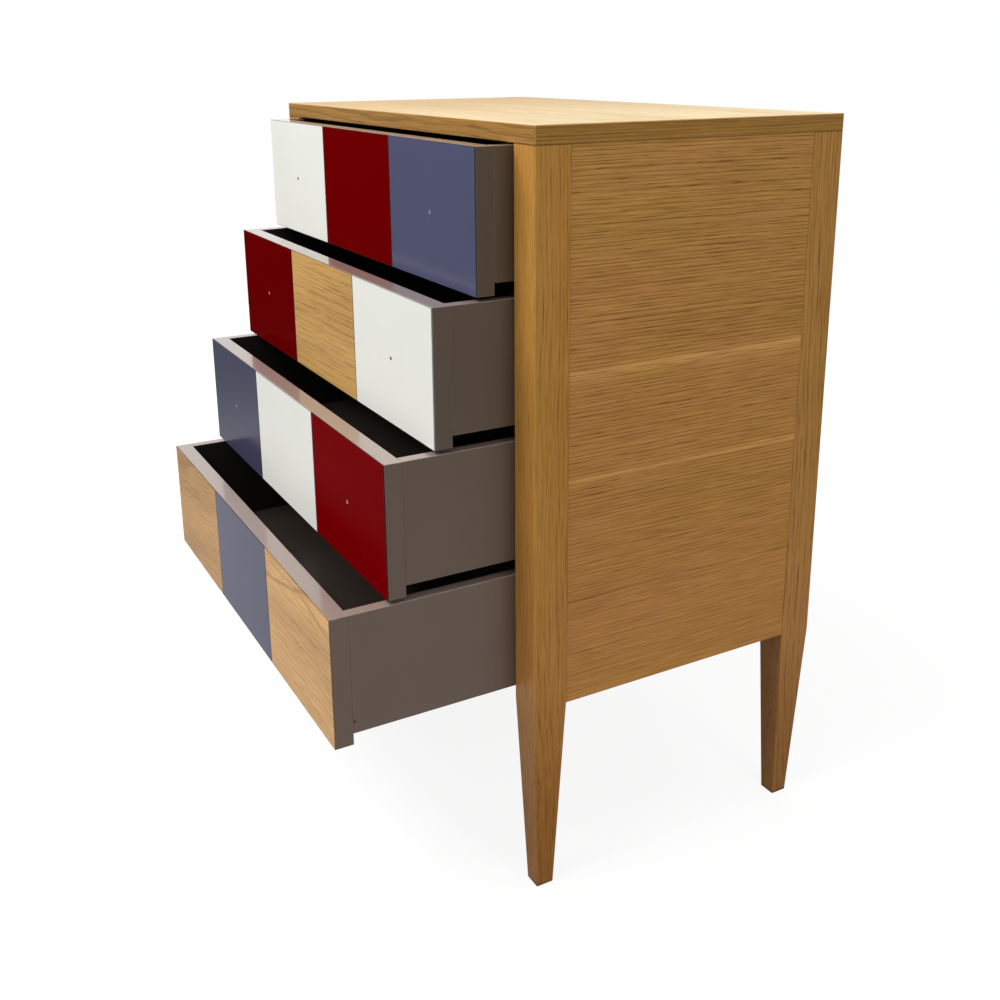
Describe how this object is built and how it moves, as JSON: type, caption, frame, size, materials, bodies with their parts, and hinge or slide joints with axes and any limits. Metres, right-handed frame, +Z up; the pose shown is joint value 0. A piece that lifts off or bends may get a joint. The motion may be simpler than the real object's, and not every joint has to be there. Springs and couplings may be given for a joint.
{
  "type": "chest of drawers",
  "caption": "Oak chest of drawers on tapered square legs; lacquered drawers faced with equal coloured and oak tiles, drawn out in steps.",
  "frame": {"origin": "on the floor, centred on the width, and in depth halfway between the lowest drawer's face as drawn out at rest and the rear faces of the legs", "axes": "+X to the right of a person facing the drawers, drawer fronts face -Y, +Z up"},
  "size_m": [0.82, 0.708, 1],
  "materials": {
    "oak_top": "matt oiled oak",
    "oak_leg": "matt oiled solid oak",
    "oak_side": "matt oiled oak veneer",
    "oak_rail": "matt solid oak",
    "dust_board": "plain plywood",
    "back_board": "matt oak veneer",
    "taupe_front": "satin taupe lacquer",
    "taupe_side": "satin taupe lacquer outside, black lacquer inside",
    "taupe_back": "black lacquer",
    "drawer_floor": "black lacquer",
    "tile_white": "satin laminate",
    "tile_red": "satin laminate",
    "tile_blue": "satin laminate",
    "tile_oak": "matt oak veneer",
    "runner_steel": "zinc plated",
    "screw_steel": "zinc plated"
  },
  "bodies": {
    "carcass": {"top_panel": "oak_top", "leg_front_left": "oak_leg", "leg_front_right": "oak_leg", "leg_rear_left": "oak_leg", "leg_rear_right": "oak_leg", "side_panel_left": "oak_side", "side_panel_right": "oak_side", "front_bottom_rail": "oak_rail", "rear_top_rail": "oak_rail", "bottom_panel": "dust_board", "back_panel": "back_board", "cabinet_runner_1_left": "runner_steel", "cabinet_runner_1_right": "runner_steel", "cabinet_runner_2_left": "runner_steel", "cabinet_runner_2_right": "runner_steel", "cabinet_runner_3_left": "runner_steel", "cabinet_runner_3_right": "runner_steel", "cabinet_runner_4_left": "runner_steel", "cabinet_runner_4_right": "runner_steel", "runner_screws": "screw_steel"},
    "drawer_1": {"drawer_1_front": "taupe_front", "drawer_1_tile_left": "tile_white", "drawer_1_tile_middle": "tile_red", "drawer_1_tile_right": "tile_blue", "drawer_1_side_left": "taupe_side", "drawer_1_side_right": "taupe_side", "drawer_1_back": "taupe_back", "drawer_1_bottom": "drawer_floor", "drawer_1_runner_left": "runner_steel", "drawer_1_runner_right": "runner_steel"},
    "drawer_2": {"drawer_2_front": "taupe_front", "drawer_2_tile_left": "tile_red", "drawer_2_tile_middle": "tile_oak", "drawer_2_tile_right": "tile_white", "drawer_2_side_left": "taupe_side", "drawer_2_side_right": "taupe_side", "drawer_2_back": "taupe_back", "drawer_2_bottom": "drawer_floor", "drawer_2_runner_left": "runner_steel", "drawer_2_runner_right": "runner_steel"},
    "drawer_3": {"drawer_3_front": "taupe_front", "drawer_3_tile_left": "tile_blue", "drawer_3_tile_middle": "tile_white", "drawer_3_tile_right": "tile_red", "drawer_3_side_left": "taupe_side", "drawer_3_side_right": "taupe_side", "drawer_3_back": "taupe_back", "drawer_3_bottom": "drawer_floor", "drawer_3_runner_left": "runner_steel", "drawer_3_runner_right": "runner_steel"},
    "drawer_4": {"drawer_4_front": "taupe_front", "drawer_4_tile_left": "tile_oak", "drawer_4_tile_middle": "tile_blue", "drawer_4_tile_right": "tile_oak", "drawer_4_side_left": "taupe_side", "drawer_4_side_right": "taupe_side", "drawer_4_back": "taupe_back", "drawer_4_bottom": "drawer_floor", "drawer_4_runner_left": "runner_steel", "drawer_4_runner_right": "runner_steel"}
  },
  "joints": [
    {"name": "drawer_1_slide", "type": "slide", "parent": "carcass", "child": "drawer_1", "axis": [0, -1, 0], "range_m": [-0.049, 0.251]},
    {"name": "drawer_2_slide", "type": "slide", "parent": "carcass", "child": "drawer_2", "axis": [0, -1, 0], "range_m": [-0.107, 0.193]},
    {"name": "drawer_3_slide", "type": "slide", "parent": "carcass", "child": "drawer_3", "axis": [0, -1, 0], "range_m": [-0.173, 0.127]},
    {"name": "drawer_4_slide", "type": "slide", "parent": "carcass", "child": "drawer_4", "axis": [0, -1, 0], "range_m": [-0.248, 0.052]}
  ]
}
